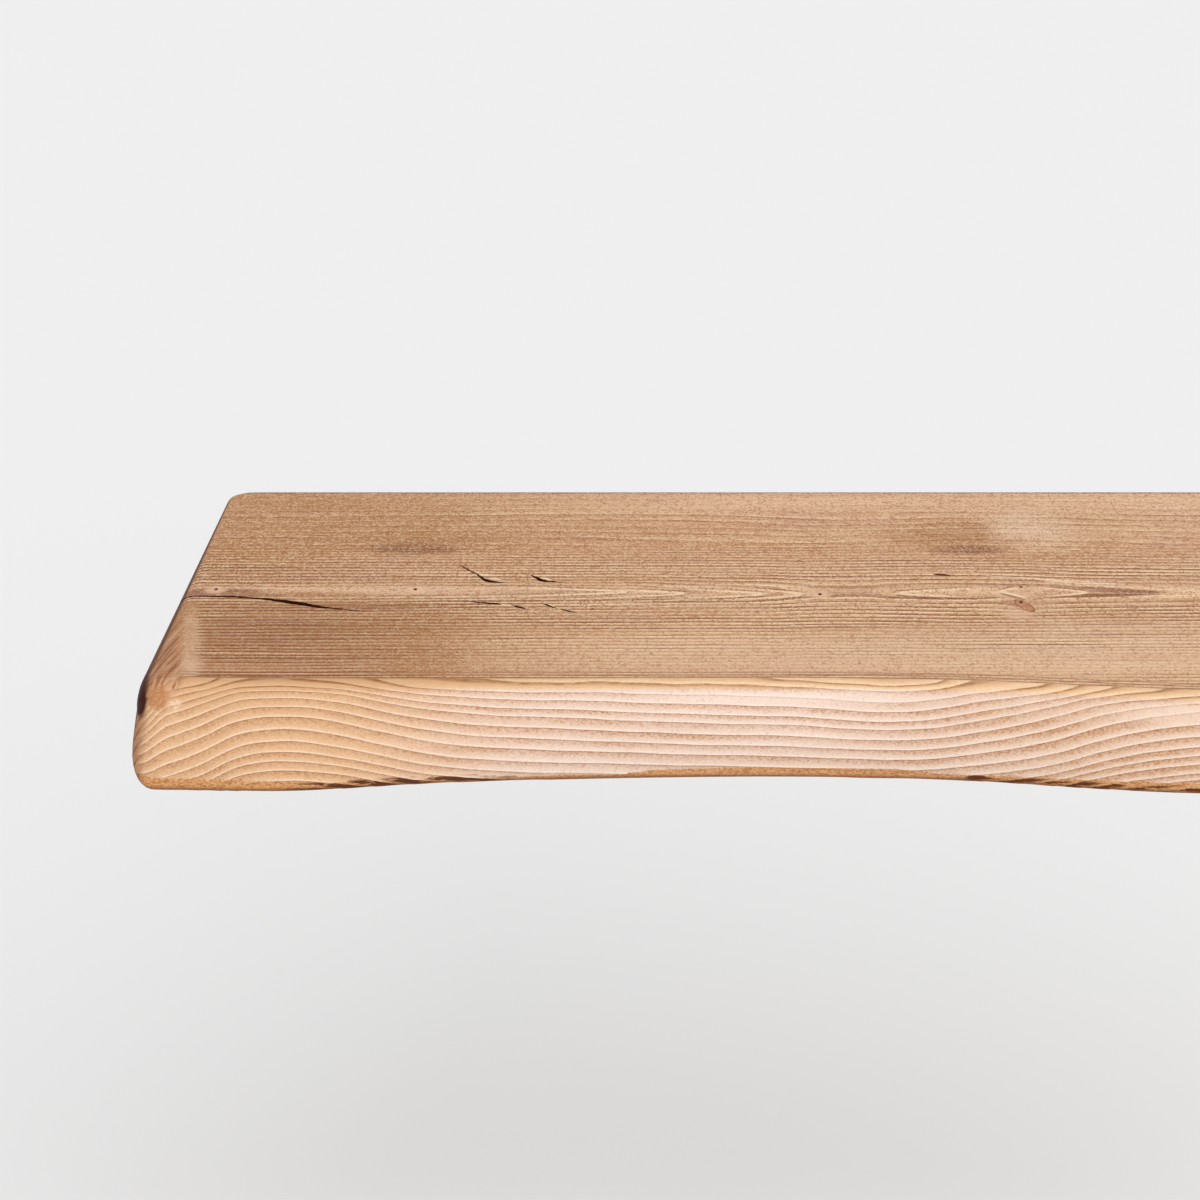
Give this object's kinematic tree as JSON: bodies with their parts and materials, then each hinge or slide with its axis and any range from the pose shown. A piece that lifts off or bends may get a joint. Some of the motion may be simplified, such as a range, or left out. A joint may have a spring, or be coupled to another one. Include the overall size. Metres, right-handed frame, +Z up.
{
  "type": "floating wall shelf",
  "caption": "Thick live-edge softwood board that slides onto steel rods hidden in its rear edge, each rod standing out of a plate screwed to the wall.",
  "frame": {"origin": "on the wall plane, at the middle of the board's length and of its thickness", "axes": "+X along the shelf to the right as seen from the room, +Y straight back into the wall, +Z up"},
  "size_m": [0.7997, 0.261, 0.04],
  "materials": {
    "board_wood": "brushed softwood under a thin satin clear coat",
    "plate_steel": "zinc plated, satin",
    "rod_steel": "drawn bright steel",
    "screw_steel": "zinc plated",
    "washer_steel": "zinc plated",
    "plug_nylon": "moulded nylon"
  },
  "bodies": {
    "wall_supports": {"left_wall_plate": "plate_steel", "left_support_rod": "rod_steel", "left_outer_wall_screw": "screw_steel", "left_outer_washer": "washer_steel", "left_outer_wall_plug": "plug_nylon", "left_inner_wall_screw": "screw_steel", "left_inner_washer": "washer_steel", "left_inner_wall_plug": "plug_nylon", "right_wall_plate": "plate_steel", "right_support_rod": "rod_steel", "right_outer_wall_screw": "screw_steel", "right_outer_washer": "washer_steel", "right_outer_wall_plug": "plug_nylon", "right_inner_wall_screw": "screw_steel", "right_inner_washer": "washer_steel", "right_inner_wall_plug": "plug_nylon"},
    "board": {"shelf_board": "board_wood"}
  },
  "joints": [
    {"name": "board_slide", "type": "slide", "parent": "wall_supports", "child": "board", "axis": [0, -1, 0], "range_m": [0, 0.15]}
  ]
}
